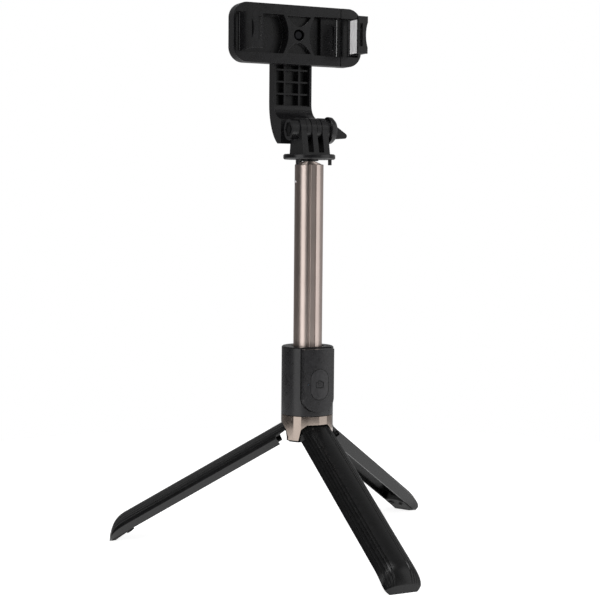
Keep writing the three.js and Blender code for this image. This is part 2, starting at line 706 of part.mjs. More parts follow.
// Left window: square at the left, with a bulging right edge that leaves a waisted web.
function leftWindow() {
  const low = CLAMP_CENTRE - WINDOW_HALF_HEIGHT;
  const high = CLAMP_CENTRE + WINDOW_HALF_HEIGHT;
  const shape = new THREE.Shape();
  shape.moveTo(-43.6, low);
  shape.lineTo(-WEB_HALF_WIDTH - 3.4, low);
  shape.quadraticCurveTo(-WEB_HALF_WIDTH + 3.4, CLAMP_CENTRE, -WEB_HALF_WIDTH - 3.4, high);
  shape.lineTo(-43.6, high);
  return shape;
}

function rightWindow() {
  const low = CLAMP_CENTRE - WINDOW_HALF_HEIGHT;
  const high = CLAMP_CENTRE + WINDOW_HALF_HEIGHT;
  const shape = new THREE.Shape();
  shape.moveTo(CLAMP_SEAM + 2, low);
  shape.lineTo(CLAMP_SEAM + 2, high);
  shape.lineTo(WEB_HALF_WIDTH + 3.4, high);
  shape.quadraticCurveTo(WEB_HALF_WIDTH - 3.4, CLAMP_CENTRE, WEB_HALF_WIDTH + 3.4, low);
  return shape;
}

// Half-moon pocket above (+1) or below (-1) the rivet.
function webPocket(sign) {
  const flat = CLAMP_CENTRE + sign * (WINDOW_HALF_HEIGHT - 0.6);
  const shape = new THREE.Shape();
  shape.moveTo(-8.4, flat);
  shape.quadraticCurveTo(0, CLAMP_CENTRE + sign * -1.6, 8.4, flat);
  return slabY(shape, CLAMP_FRONT - 1, CLAMP_FRONT + 3.2, 10);
}

function railCavity(sign, x0, x1, half) {
  const middle = CLAMP_CENTRE + sign * RAIL_CENTRE;
  return block(x0, x1, RAIL_DEPTH - half, CLAMP_BACK - COVER_THICKNESS, middle - half, middle + half);
}

function clampBody() {
  let body = clampOutline(CLAMP_LEFT, CLAMP_SEAM);
  const backPlane = CLAMP_BACK - COVER_THICKNESS;
  body = cut(body, block(-60, 60, backPlane, 40, 290, 360));
  body = cut(body, slabY(leftWindow(), 0, 40, 10), slabY(rightWindow(), 0, 40, 10));
  body = cut(body, webPocket(1), webPocket(-1));
  for (const sign of [-1, 1]) body = cut(body, railCavity(sign, -34, CLAMP_SEAM + 1, 2.1));
  const [low, high] = [CLAMP_CENTRE - 14, CLAMP_CENTRE + 14];
  body = cut(body, block(BRIDGE_LEFT - GAP, 40, BRIDGE_FRONT - GAP, 40, low, high));
  body = cut(body, rodY(2.3, 0, 40, 0, CLAMP_CENTRE, 20));
  body = cut(body, rodY(3.6, 0, CLAMP_FRONT + 2.9, 0, CLAMP_CENTRE, 24));
  const jawPinHole = rodZ(0.95, CLAMP_CENTRE - 14, CLAMP_CENTRE + 14, JAW_LEFT_X, JAW_HINGE_Y, 12);
  return cut(body, jawPinHole);
}

// Flat plate that closes the rails and both windows from behind, with a crescent groove
// along the left side of the centre web.
function clampBackCover() {
  const plate = clampOutline(CLAMP_LEFT, CLAMP_SEAM);
  const face = CLAMP_BACK - COVER_THICKNESS + 0.2;
  const front = block(-60, 60, 0, face, 290, 360);
  const low = CLAMP_CENTRE - WINDOW_HALF_HEIGHT + 0.2;
  const high = CLAMP_CENTRE + WINDOW_HALF_HEIGHT - 0.2;
  const crescent = new THREE.Shape();
  crescent.moveTo(-17.2, low);
  crescent.lineTo(-11.4, low);
  crescent.quadraticCurveTo(-5, CLAMP_CENTRE, -11.4, high);
  crescent.lineTo(-17.2, high);
  crescent.quadraticCurveTo(-10.4, CLAMP_CENTRE, -17.2, low);
  const groove = slabY(crescent, 0, face + 0.5, 10);
  return cut(plate, front, groove, rodY(2.3, 0, 40, 0, CLAMP_CENTRE, 20));
}

// Sliding end: a hollow block, two arms that run in the rails and a plate that ties them together.
function clampSlider() {
  const start = CLAMP_SEAM + 0.4;
  const low = CLAMP_CENTRE - WINDOW_HALF_HEIGHT;
  const high = CLAMP_CENTRE + WINDOW_HALF_HEIGHT;
  let slider = clampOutline(start, CLAMP_RIGHT);
  slider = cut(slider, block(start + 2.6, CLAMP_RIGHT - 2.2, 0, CLAMP_BACK - 1.6, low, high));
  slider = cut(slider, block(start - 1, start + 1.1, 0, 40, low, high));
  slider = cut(slider, block(start - 1, start + 4, 0, BRIDGE_FRONT, low, high));
  for (const sign of [-1, 1]) {
    const middle = CLAMP_CENTRE + sign * RAIL_CENTRE;
    const [front, back] = [RAIL_DEPTH - 1.7, RAIL_DEPTH + 1.7];
    slider = join(slider, block(SLIDER_ARM_START, start + 1, front, back, middle - 1.7, middle + 1.7));
  }
  slider = join(slider, block(BRIDGE_LEFT, BRIDGE_RIGHT, BRIDGE_FRONT, BRIDGE_BACK, low - 1.6, high + 1.6));
  const recess = roundedRectangle(20, BRIDGE_RIGHT - 1.8, CLAMP_CENTRE - 8.4, CLAMP_CENTRE + 8.4, 2.4);
  slider = cut(slider, slabY(recess, 0, BRIDGE_FRONT + 1.1, 5));
  return cut(slider, rodZ(0.95, CLAMP_CENTRE - 14, CLAMP_CENTRE + 14, JAW_RIGHT_X, JAW_HINGE_Y, 12));
}

// Extension spring in a rail, as a closed helix of round wire.
class Helix extends THREE.Curve {
  constructor(radius, x0, x1, turns, y, z) {
    super();
    Object.assign(this, { radius, x0, x1, turns, y, z });
  }

  getPoint(t) {
    const angle = 2 * Math.PI * this.turns * t;
    return new THREE.Vector3(
      this.x0 + (this.x1 - this.x0) * t,
      this.y + this.radius * Math.cos(angle),
      this.z + this.radius * Math.sin(angle),
    );
  }
}

function railSpring(sign) {
  const turns = 9;
  const path = new Helix(1.35, -33, -12, turns, RAIL_DEPTH, CLAMP_CENTRE + sign * RAIL_CENTRE);
  const wire = new THREE.Shape();
  wire.absarc(0, 0, 0.3, 0, 2 * Math.PI);
  return new THREE.ExtrudeGeometry(wire, { steps: turns * 8, extrudePath: path, curveSegments: 3 });
}

// Folding jaw in its raised position: a wall that reaches forward and ends in an inward lip.
function jaw(hingeX, inward) {
  const front = JAW_HINGE_Y - JAW_LENGTH;
  const bottom = CLAMP_CENTRE - JAW_HALF_HEIGHT;
  const top = CLAMP_CENTRE + JAW_HALF_HEIGHT;
  const at = (offset) => hingeX + inward * offset;
  const between = (a, b) => [Math.min(at(a), at(b)), Math.max(at(a), at(b))];
  const [wall0, wall1] = between(-JAW_WALL / 2, JAW_WALL / 2);
  const [lip0, lip1] = between(-JAW_FLANGE, JAW_LIP);
  const [slot0, slot1] = between(JAW_LIP - 3.2, JAW_LIP - 0.8);
  let piece = block(wall0, wall1, front, JAW_HINGE_Y, bottom, top);
  piece = join(piece, rodZ(JAW_BARREL_RADIUS, bottom, top, hingeX, JAW_HINGE_Y, 16));
  piece = join(piece, block(lip0, lip1, front, front + LIP_THICKNESS, bottom, top));
  const scallopRadius = 26;
  const scallopX = at(-scallopRadius);
  piece = cut(
    piece,
    rodY(scallopRadius, front - 1, front + LIP_THICKNESS + 1, scallopX, CLAMP_CENTRE, 120),
    block(slot0, slot1, front - 1, front + 5, CLAMP_CENTRE - 7.2, CLAMP_CENTRE + 7.2),
  );
  return cut(piece, rodZ(0.95, bottom - 1, top + 1, hingeX, JAW_HINGE_Y, 12));
}

// Ribbed soft pad on the inner face of a jaw.
function jawPad(hingeX, inward) {
  const face = JAW_WALL / 2 + GAP / 2;
  const thickness = 0.6;
  const [y0, y1] = [3.8, 14];
  const low = CLAMP_CENTRE - 10.6;
  const high = CLAMP_CENTRE + 10.6;
  const span = (a, b) => [hingeX + inward * a, hingeX + inward * b].sort((p, q) => p - q);
  let pad = block(...span(face, face + thickness), y0, y1, low, high);
  for (let rib = 0; rib < 5; rib += 1) {
    const y = y0 + 0.5 + rib * 2;
    pad = join(pad, block(...span(face + thickness / 2, face + thickness + 0.35), y, y + 1, low, high));
  }
  return pad;
}

function jawPin(hingeX) {
  return rodZ(0.8, CLAMP_CENTRE - 13.7, CLAMP_CENTRE + 13.7, hingeX, JAW_HINGE_Y, 10);
}

add('clamp_body', clampBody(), matteBlack);
add('clamp_back_cover', clampBackCover(), matteBlack);
add('clamp_slider', clampSlider(), matteBlack);
add('clamp_spring_upper', railSpring(1), brightSteel);
add('clamp_spring_lower', railSpring(-1), brightSteel);
for (const [side, hingeX, inward] of [['left', JAW_LEFT_X, 1], ['right', JAW_RIGHT_X, -1]]) {
  add(`jaw_${side}`, jaw(hingeX, inward), matteBlack);
  add(`jaw_pad_${side}`, jawPad(hingeX, inward), greyPad);
  add(`jaw_pin_${side}`, jawPin(hingeX), brightSteel);
}

// ---- placing ------------------------------------------------------------------------------
// The origin is the middle of the object's footprint, on the ground.
const box = new THREE.Box3().setFromObject(product);
const middle = box.getCenter(new THREE.Vector3());
product.position.set(-middle.x, -middle.y, -box.min.z);

export default product;
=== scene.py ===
"""Looks of the tripod selfie stick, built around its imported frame.

The scene is in metres, +Z up, with the stick's front towards -Y. Shapes made here are worked out
in millimetres. All but the icon are measured from AXIS, and mesh_from turns them into metres.
"""
import json
import math

import bmesh
import bpy
from mathutils import Matrix, Vector

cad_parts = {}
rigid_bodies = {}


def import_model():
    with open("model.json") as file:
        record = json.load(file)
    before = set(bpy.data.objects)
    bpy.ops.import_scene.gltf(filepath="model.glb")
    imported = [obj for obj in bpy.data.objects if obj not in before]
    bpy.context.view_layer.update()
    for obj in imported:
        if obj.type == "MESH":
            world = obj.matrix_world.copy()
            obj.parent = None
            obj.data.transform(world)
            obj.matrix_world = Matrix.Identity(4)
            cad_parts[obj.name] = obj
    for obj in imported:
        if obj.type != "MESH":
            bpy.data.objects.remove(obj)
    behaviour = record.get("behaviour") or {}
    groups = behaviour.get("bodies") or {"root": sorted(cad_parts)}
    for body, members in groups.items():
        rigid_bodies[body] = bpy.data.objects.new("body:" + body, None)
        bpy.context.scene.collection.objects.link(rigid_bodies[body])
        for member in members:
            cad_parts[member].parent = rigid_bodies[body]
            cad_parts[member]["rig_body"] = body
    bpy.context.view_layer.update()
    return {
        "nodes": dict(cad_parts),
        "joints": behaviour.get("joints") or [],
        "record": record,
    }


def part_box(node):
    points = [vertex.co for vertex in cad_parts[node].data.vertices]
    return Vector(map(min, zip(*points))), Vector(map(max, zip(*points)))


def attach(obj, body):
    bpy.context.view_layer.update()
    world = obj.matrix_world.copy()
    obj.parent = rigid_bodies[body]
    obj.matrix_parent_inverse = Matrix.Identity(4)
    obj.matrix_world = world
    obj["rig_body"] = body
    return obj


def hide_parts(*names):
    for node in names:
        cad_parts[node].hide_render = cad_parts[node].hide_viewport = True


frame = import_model()

MM = 0.001

# ---- places taken from the frame ----------------------------------------------------------
joint_place = {j["name"]: Vector(j["pos_m"]) / MM for j in frame["joints"] if "pos_m" in j}
PIVOT_RADIUS = 12.0  # leg hinge pin, distance from the stick's axis
PIVOT_HEIGHT = 75.7
AXIS = joint_place["leg_front_fold"] + Vector((0, PIVOT_RADIUS, -PIVOT_HEIGHT))

# ---- camera, as fitted to the photograph --------------------------------------------------
CAMERA_PLACE = Vector((-0.38956, -0.77266, 0.22091))
CAMERA_HEADING = 25.673  # degrees from +Y towards +X
CAMERA_PITCH = 4.131  # degrees down
CAMERA_ROLL = 0.487
CAMERA_LENS = 84.2
SENSOR_WIDTH = 36


def make_camera():
    heading, pitch, roll = map(math.radians, (CAMERA_HEADING, CAMERA_PITCH, CAMERA_ROLL))
    forward = Vector((
        math.sin(heading) * math.cos(pitch),
        math.cos(heading) * math.cos(pitch),
        -math.sin(pitch),
    ))
    right = forward.cross(Vector((0, 0, 1))).normalized()
    up = right.cross(forward)
    right, up = (
        math.cos(roll) * right + math.sin(roll) * up,
        math.cos(roll) * up - math.sin(roll) * right,
    )
    data = bpy.data.cameras.new("camera")
    data.lens = CAMERA_LENS
    data.sensor_width = SENSOR_WIDTH
    camera = bpy.data.objects.new("camera", data)
    camera.matrix_world = Matrix.Translation(CAMERA_PLACE) @ Matrix(
        (right, up, -forward)
    ).transposed().to_4x4()
    bpy.context.scene.collection.objects.link(camera)
    bpy.context.scene.camera = camera


make_camera()


# ---- materials ----------------------------------------------------------------------------
EDGE_POINTINESS = (0.53, 0.62)  # where wear on an outside edge starts and is full
WEAR_PATCH = 1.4  # mm
WEAR_COVER = (0.42, 0.6)
WEAR_LIGHTENING = 3.2
FLOW_MARK = 9  # mm, size of the mottling in moulded plastic
GLOSS_PATCH = 3.5
COARSE_GRAIN = 4.3  # size of the second grain layer, in sizes of the first
COARSE_DEPTH = 1.5
METAL_TINT_PATCH = 14
METAL_SMUDGE = 6
LINE_SHARE = 0.12  # most that a metal's lines mix in of their darker color


class Surface:
    """Builds one procedural material, in object coordinates, which are metres in the frame."""

    def __init__(self, name):
        self.material = bpy.data.materials.new(name)
        self.material.use_nodes = True
        self.tree = self.material.node_tree
        self.shader = self.tree.nodes["Principled BSDF"]
        self.coordinates = self.node("ShaderNodeTexCoord").outputs["Object"]

    def node(self, kind, **settings):
        made = self.tree.nodes.new(kind)
        for key, value in settings.items():
            setattr(made, key, value)
        return made

    def link(self, output, target):
        self.tree.links.new(output, target)

    def noise(self, size_mm, detail=3, stretch=(1, 1, 1)):
        """Noise whose features are about size_mm across, drawn out by stretch."""
        mapping = self.node("ShaderNodeMapping")
        mapping.inputs["Scale"].default_value = [1 / s for s in stretch]
        self.link(self.coordinates, mapping.inputs["Vector"])
        noise = self.node("ShaderNodeTexNoise")
        noise.inputs["Scale"].default_value = 1 / (size_mm * MM)
        noise.inputs["Detail"].default_value = detail
        self.link(mapping.outputs["Vector"], noise.inputs["Vector"])
        return noise.outputs["Fac"]

    def spread(self, value, low, high, source=(0.3, 0.7)):
        """value remapped from its source range to low..high."""
        ranged = self.node("ShaderNodeMapRange")
        for key, number in zip(("From Min", "From Max", "To Min", "To Max"), (*source, low, high)):
            ranged.inputs[key].default_value = number
        self.link(value, ranged.inputs["Value"])
        return ranged.outputs["Result"]

    def mix(self, factor, first, second):
        mixed = self.node("ShaderNodeMix", data_type="RGBA")
        self.link(factor, mixed.inputs["Factor"])
        for socket, value in ((mixed.inputs[6], first), (mixed.inputs[7], second)):
            if isinstance(value, tuple):
                socket.default_value = (*value, 1)
            else:
                self.link(value, socket)
        return mixed.outputs[2]

    def worn_edges(self, amount):
        """High where an outside edge is, broken up by noise."""
        pointiness = self.node("ShaderNodeNewGeometry").outputs["Pointiness"]
        edge = self.spread(pointiness, 0, amount, EDGE_POINTINESS)
        patches = self.spread(self.noise(WEAR_PATCH, 4), 0, 1, WEAR_COVER)
        product = self.node("ShaderNodeMath", operation="MULTIPLY")
        self.link(edge, product.inputs[0])
        self.link(patches, product.inputs[1])
        return product.outputs["Value"]

    def bumps(self, *layers):
        """Stacks bump layers of (height output, depth in mm) into the shader's normal."""
        previous = None
        for height, depth in layers:
            bump = self.node("ShaderNodeBump")
            bump.inputs["Strength"].default_value = 1
            bump.inputs["Distance"].default_value = depth * MM
            self.link(height, bump.inputs["Height"])
            if previous:
                self.link(previous, bump.inputs["Normal"])
            previous = bump.outputs["Normal"]
        self.link(previous, self.shader.inputs["Normal"])


def shade(color, factor):
    return tuple(min(1, c * factor) for c in color)


def moulded(name, color, roughness, grain_mm, grain_depth, specular=0.5, wear=0.25, mottle=0.12):
    """Moulded plastic or rubber: fine spark grain, faint flow mottling, rubbed edges."""
    s = Surface(name)
    flow = s.spread(s.noise(FLOW_MARK, 4), 0, 1)
    body = s.mix(flow, shade(color, 1 - mottle), shade(color, 1 + mottle))
    worn = s.mix(s.worn_edges(wear), body, shade(color, WEAR_LIGHTENING))
    s.link(worn, s.shader.inputs["Base Color"])
    gloss = s.spread(s.noise(GLOSS_PATCH, 5), roughness - 0.05, roughness + 0.06)
    s.link(gloss, s.shader.inputs["Roughness"])
    s.shader.inputs["Specular IOR Level"].default_value = specular
    s.bumps(
        (s.noise(grain_mm, 2), grain_depth),
        (s.noise(grain_mm * COARSE_GRAIN, 3), grain_depth * COARSE_DEPTH),
    )
    return s.material


def metal(name, color, roughness, stretch, line_mm, line_depth, spread=0.06, dark=0.72):
    """Metal with drawn or turned lines, long along the large entries of stretch.

    The lines mix in a little of the color times dark; roughness varies over about spread.
    """
    s = Surface(name)
    lines = s.noise(line_mm, 4, stretch)
    patches = s.spread(s.noise(METAL_TINT_PATCH, 4), 0, 1)
    tint = s.mix(patches, shade(color, 0.95), shade(color, 1.04))
    lined = s.mix(s.spread(lines, 0, LINE_SHARE), tint, shade(color, dark))
    s.link(lined, s.shader.inputs["Base Color"])
    s.shader.inputs["Metallic"].default_value = 1
    smudges = s.noise(METAL_SMUDGE, 5)
    base = s.spread(smudges, roughness - spread / 2, roughness + spread)
    extra = s.spread(lines, -spread / 2, spread / 2)
    total = s.node("ShaderNodeMath", operation="ADD", use_clamp=True)
    s.link(base, total.inputs[0])
    s.link(extra, total.inputs[1])
    s.link(total.outputs["Value"], s.shader.inputs["Roughness"])
    s.bumps((lines, line_depth))
    return s.material


LENGTHWISE = (1, 1, 60)
ROUND = (1, 1, 1)

MATERIALS = {
    "collar_plastic": moulded(
        "collar_plastic", (0.013, 0.0126, 0.0138), 0.28, 0.35, 0.0005, 0.45
    ),
    "leg_plastic": moulded(
        "leg_plastic", (0.0050, 0.0050, 0.0053), 0.28, 0.3, 0.0004, 0.34, wear=0.1
    ),
    "clamp_plastic": moulded(
        "clamp_plastic", (0.0080, 0.0078, 0.0087), 0.28, 0.4, 0.0005, 0.5
    ),
    "ring_bronze": metal("ring_bronze", (0.36, 0.30, 0.26), 0.09, ROUND, 5, 0.0001, 0.03, 0.94),
    "tube_anodised": metal(
        "tube_anodised", (0.62, 0.52, 0.475), 0.29, LENGTHWISE, 0.35, 0.00002, 0.012, 0.97
    ),
    "steel": metal("steel", (0.58, 0.58, 0.60), 0.25, ROUND, 0.6, 0.001),
    "black_steel": metal("black_steel", (0.03, 0.03, 0.033), 0.35, ROUND, 0.5, 0.001),
    "foot_rubber": moulded("foot_rubber", (0.014, 0.014, 0.014), 0.72, 0.3, 0.01, 0.35),
    "pad_grey": moulded("pad_grey", (0.84, 0.83, 0.84), 0.7, 0.3, 0.008, 0.3, 0.1, 0.05),
    "nylon": moulded("nylon", (0.68, 0.65, 0.58), 0.5, 0.5, 0.004, 0.4, 0.05, 0.05),
    "board": moulded("board", (0.02, 0.12, 0.05), 0.35, 0.6, 0.003, 0.5, 0.05, 0.08),
    "lens": moulded("lens", (0.08, 0.10, 0.13), 0.12, 0.8, 0.001, 0.5, 0.0, 0.05),
    "button_rubber": moulded("button_rubber", (0.018, 0.0175, 0.019), 0.32, 0.3, 0.0006, 0.5),
}
slot_of = {p["node"]: p["material_slot"] for p in frame["record"]["subparts"]}


# ---- piece helpers ------------------------------------------------------------------------
def set_material(piece, slot):
    piece.data.materials.clear()
    piece.data.materials.append(MATERIALS[slot])


def finished(piece, body, slot, nodes=()):
    """Gives a new piece its material and its body, and hides the CAD nodes that it stands for."""
    set_material(piece, slot)
    bpy.context.scene.collection.objects.link(piece)
    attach(piece, body)
    if nodes:
        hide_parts(*nodes)
    return piece


SHARP_ANGLE = 28  # degrees between faces above which an edge counts as sharp
WELD_DISTANCE = 2e-6  # m
FLAT_ANGLE = 0.8  # degrees between faces that are merged into one


def rounded(piece, width_mm, segments=2, angle=SHARP_ANGLE):
    """Rounds a piece's sharp edges, which are those above angle, and smooths the rest."""
    piece.data.shade_smooth()
    piece.data.set_sharp_from_angle(angle=math.radians(angle))
    bevel = piece.modifiers.new("edges", "BEVEL")
    bevel.width = width_mm * MM
    bevel.segments = segments
    bevel.limit_method = "ANGLE"
    bevel.angle_limit = math.radians(angle)
    bevel.harden_normals = True
    bevel.miter_outer = "MITER_ARC"
    weighted = piece.modifiers.new("normals", "WEIGHTED_NORMAL")
    weighted.keep_sharp = False


def refined(node, width_mm, slot=None):
    """A copy of a CAD node with clean flat faces and rounded edges, in the node's place."""
    mesh = frame["nodes"][node].data.copy()
    work = bmesh.new()
    work.from_mesh(mesh)
    bmesh.ops.remove_doubles(work, verts=work.verts, dist=WELD_DISTANCE)
    bmesh.ops.dissolve_limit(
        work, angle_limit=math.radians(FLAT_ANGLE), verts=work.verts, edges=work.edges
    )
    work.to_mesh(mesh)
    work.free()
    if "custom_normal" in mesh.attributes:
        mesh.attributes.remove(mesh.attributes["custom_normal"])
    piece = bpy.data.objects.new(f"{node}_finished", mesh)
    body = frame["nodes"][node]["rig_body"]
    finished(piece, body, slot or slot_of[node], [node])
    rounded(piece, width_mm)


for name, piece in frame["nodes"].items():
    set_material(piece, slot_of[name])


# Edge rounding in mm of the CAD nodes that are shown as finished copies.
EDGES = {
    "collar_body": 0.6,
    "base_ring": 0.2,
    "leg_hub": 0.2,
    "remote_front_shell": 0.35,
    "remote_back_shell": 0.25,
    "remote_button": 0.2,
    "head_base": 0.5,
    "tilt_knob": 0.4,
    "bracket_arm": 0.42,
    "clamp_body": 0.55,
    "clamp_back_cover": 0.4,
    "clamp_slider": 0.5,
    "jaw_left": 0.6,
    "jaw_right": 0.45,
    "jaw_pad_left": 0.12,
    "jaw_pad_right": 0.12,
    "foot_front": 0.3,
    "foot_right": 0.3,
    "foot_left": 0.3,
}
PIN_EDGE = 0.1
for name, width in EDGES.items():
    refined(name, width)
for name in ("jaw_pin_left", "jaw_pin_right"):
    refined(name, PIN_EDGE, "black_steel")


# ---- mesh building, in millimetres --------------------------------------------------------
def polar(radius, angle):
    """A point at an angle in degrees about Z, measured from -Y towards +X."""
    turn = math.radians(angle)
    return radius * math.sin(turn), -radius * math.cos(turn)


def mesh_from(name, islands, placing):
    """One mesh from islands of (points in mm, faces), moved by a matrix in mm, in metres."""
    points, faces = [], []
    for island_points, island_faces in islands:
        start = len(points)
        points += [placing @ Vector(p) * MM for p in island_points]
        faces += [[start + i for i in face] for face in island_faces]
    mesh = bpy.data.meshes.new(name)
    mesh.from_pydata(points, [], faces)
    work = bmesh.new()
    work.from_mesh(mesh)
    bmesh.ops.recalc_face_normals(work, faces=work.faces)
    work.to_mesh(mesh)
    work.free()
    return bpy.data.objects.new(name, mesh)


def ring_faces(rows, count):
    """Quads between successive closed loops of count points each."""
    return [
        [row * count + i, row * count + (i + 1) % count,
         (row + 1) * count + (i + 1) % count, (row + 1) * count + i]
        for row in range(rows - 1)
        for i in range(count)
    ]


def slab(outline, place, low, high):
    """A flat outline between two values of the coordinate that place puts third."""
    count = len(outline)
    points = [place(a, b, c) for c in (low, high) for a, b in outline]
    faces = ring_faces(2, count)
    return points, faces + [list(range(count)), list(range(count, 2 * count))]


def eased(points, steps):
    """A smooth curve through points, as Catmull-Rom, with steps between neighbours."""
    padded = [points[0], *points, points[-1]]
    curve = []
    for a, b, c, d in zip(padded, padded[1:], padded[2:], padded[3:]):
        for i in range(steps):
            t = i / steps
            curve.append(tuple(
                0.5 * (2 * q + (r - p) * t + (2 * p - 5 * q + 4 * r - s) * t * t
                       + (3 * q - p - 3 * r + s) * t ** 3)
                for p, q, r, s in zip(a, b, c, d)
            ))
    return [*curve, points[-1]]


def smoothstep(low, high, value):
    t = max(0.0, min(1.0, (value - low) / (high - low)))
    return t * t * (3 - 2 * t)


# ---- legs: fluted channels with a domed nose ----------------------------------------------
LEG_RADIUS = 16.3
CHANNEL_RADIUS = 14.7
LEG_EDGE = 52  # half-angle of the outer face
CHANNEL_EDGE = 46
CHIN_DEPTH = 5.34
CHIN_HALF_WIDTH = 8.75
MOUTH = 7.9
SHOULDER = 66.6
FLUTES = (20, 27, 34, 41)
FLUTE_HALF_ANGLE = 2.0
FLUTE_DEPTH = 0.42
OPEN_ANGLE = 59.2
# The nose in section, from the channel down: depth from the stick's axis, height.
OUTER_NOSE = [(16.3, -44), (16.3, -46), (15.75, -50), (14.4, -53.5), (12.3, -56.4), (9.9, -58.75)]
INNER_NOSE = [(14.7, -44), (14.5, -46), (13.9, -50), (12.7, -52.8), (10.9, -55.4), (8.8, -57.6)]
LEG_TIP = -61
CHANNEL_TIP = -59.2
# The curved plate above the shoulder: height, half-angle, outer radius.
HEAD_ROWS = [
    (66.6, 46.5, 16.3), (67.4, 43.2, 16.3), (69, 42.6, 16.3), (72, 40.1, 16.3),
    (75.1, 37.4, 16.3), (76.4, 29.5, 16.3), (77.5, 21.9, 16.2), (78.2, 18.2, 15.95),
    (78.5, 15.9, 15.6),
]
CHANNEL_HEIGHTS = (SHOULDER, 60, 40, 20, 0, -20, -34)
NOSE_NARROWEST = 0.69  # widths at the tip, in shares of the full width
CHANNEL_NARROWEST = 0.72
NOSE_FULLNESS = 2.4  # power of the curve between the full and the narrowest width
FLUTE_FADE = (0.40, 0.52)  # shares of the full depth where flutes start and are full
MOUTH_NARROWING = 0.06
LIP_DEPTH = 0.96
SQUEEZE_START = 0.96  # share of the half-angle that squeezing leaves alone
CHANNEL_SHARE = 0.995  # the curved plate's inner half-angle, in shares of the outer
CHIN_SHARES = (0.04, 0.5, 0.92)  # rows between the nose and the tip
LEG_EDGE_WIDTH = 0.3
LEG_SHARP_ANGLE = 34
LUG_RADIUS = 2.2
LUG_WIDTH = 2.8
LUG_STARTS = (-6.6, 3.8)  # in X
LUG_BACK = -15.6


def flute(angle):
    """Depth of the flutes at an angle about the stick."""
    distance = min(abs(abs(angle) - centre) for centre in FLUTES) / FLUTE_HALF_ANGLE
    return FLUTE_DEPTH * max(0.0, 1 - distance ** 2) ** 1.5


def outer_angles():
    side = [3, 6, 9, 12, 15, 17.4]
    for centre in FLUTES:
        side += [centre + FLUTE_HALF_ANGLE * t for t in (-1, -0.75, -0.5, -0.2, 0.2, 0.5, 0.75, 1)]
    side += [45, 48, 50.5, LEG_EDGE]
    return [-a for a in reversed(side)] + [0] + side


def squeezed(angle, edge, half):
    """An angle on a face that reaches edge, moved onto one that reaches only half."""
    knee = SQUEEZE_START * half
    if abs(angle) <= knee:
        return angle
    share = (abs(angle) - knee) / (edge - knee)
    return math.copysign(knee + (half - knee) * share, angle)


def between(first, second, share):
    return tuple(a + (b - a) * share for a, b in zip(first, second))


def tapered(narrowest, share):
    """Width in shares of the full one, where the depth is share of the full depth."""
    return narrowest + (1 - narrowest) * (1 - max(0.0, 1 - share) ** NOSE_FULLNESS)


def leg_section(outer, inner):
    """A closed loop: outer face, right rim, channel from right to left, left rim."""
    (depth, height), (channel_depth, channel_height) = outer, inner
    share = (depth - CHIN_DEPTH) / (LEG_RADIUS - CHIN_DEPTH)
    channel_share = (channel_depth - CHIN_DEPTH) / (CHANNEL_RADIUS - CHIN_DEPTH)
    width = tapered(NOSE_NARROWEST, share)
    inner_width = tapered(CHANNEL_NARROWEST, channel_share)
    fade = smoothstep(*FLUTE_FADE, share)
    loop = []
    for angle in outer_angles():
        x, y = polar(LEG_RADIUS - flute(angle) * fade, angle)
        loop.append((x * width, -CHIN_DEPTH - (-y - CHIN_DEPTH) * share, height))
    mouth = MOUTH * (1 - MOUTH_NARROWING * (1 - channel_share))
    rim = [
        (CHIN_HALF_WIDTH, -CHIN_DEPTH, height),
        (mouth, -CHIN_DEPTH, channel_height),
        (mouth, -CHIN_DEPTH - LIP_DEPTH * channel_share, channel_height),
    ]
    loop += rim
    for angle in reversed(outer_angles()):
        x, y = polar(CHANNEL_RADIUS, angle * CHANNEL_EDGE / LEG_EDGE)
        sunk = -CHIN_DEPTH - (-y - CHIN_DEPTH) * channel_share
        loop.append((x * inner_width, sunk, channel_height))
    return loop + [(-x, y, z) for x, y, z in reversed(rim)]


def head_section(height, half, radius):
    """The same loop where the leg is only a curved plate, up to half degrees each way."""
    loop = []
    for angle in outer_angles():
        turned = squeezed(angle, LEG_EDGE, half)
        loop.append((*polar(radius - flute(turned), turned), height))
    wall = CHANNEL_RADIUS - radius
    rim = [(*polar(radius + wall * t, half), height) for t in (0.25, 0.5, 0.75)]
    loop += rim
    for angle in reversed(outer_angles()):
        turned = squeezed(angle * CHANNEL_EDGE / LEG_EDGE, CHANNEL_EDGE, half * CHANNEL_SHARE)
        loop.append((*polar(CHANNEL_RADIUS, turned), height))
    return loop + [(-x, y, z) for x, y, z in reversed(rim)]


def end_faces(start, reach):
    """Closes a loop whose outer and inner runs of reach points face each other."""
    count = 2 * reach + 6
    faces = []
    for i in range(reach - 1):
        opposite = 2 * reach + 2 - i
        faces.append([start + i, start + i + 1, start + opposite - 1, start + opposite])
    faces.append([start + reach - 1 + i for i in range(5)])
    last = [start + count - 3 + i for i in range(3)]
    faces.append([start + 2 * reach + 2, *last, start])
    return faces


def lug_outline():
    """The ear that carries the hinge pin, in Y and Z."""
    lug = [(LUG_BACK, 68), (-14, 65), (-11.6, PIVOT_HEIGHT - 2.4)]
    for angle in range(-60, 91, 15):
        turn = math.radians(angle)
        lug.append((
            -PIVOT_RADIUS + LUG_RADIUS * math.cos(turn),
            PIVOT_HEIGHT + LUG_RADIUS * math.sin(turn),
        ))
    return lug + [(LUG_BACK, PIVOT_HEIGHT + LUG_RADIUS)]


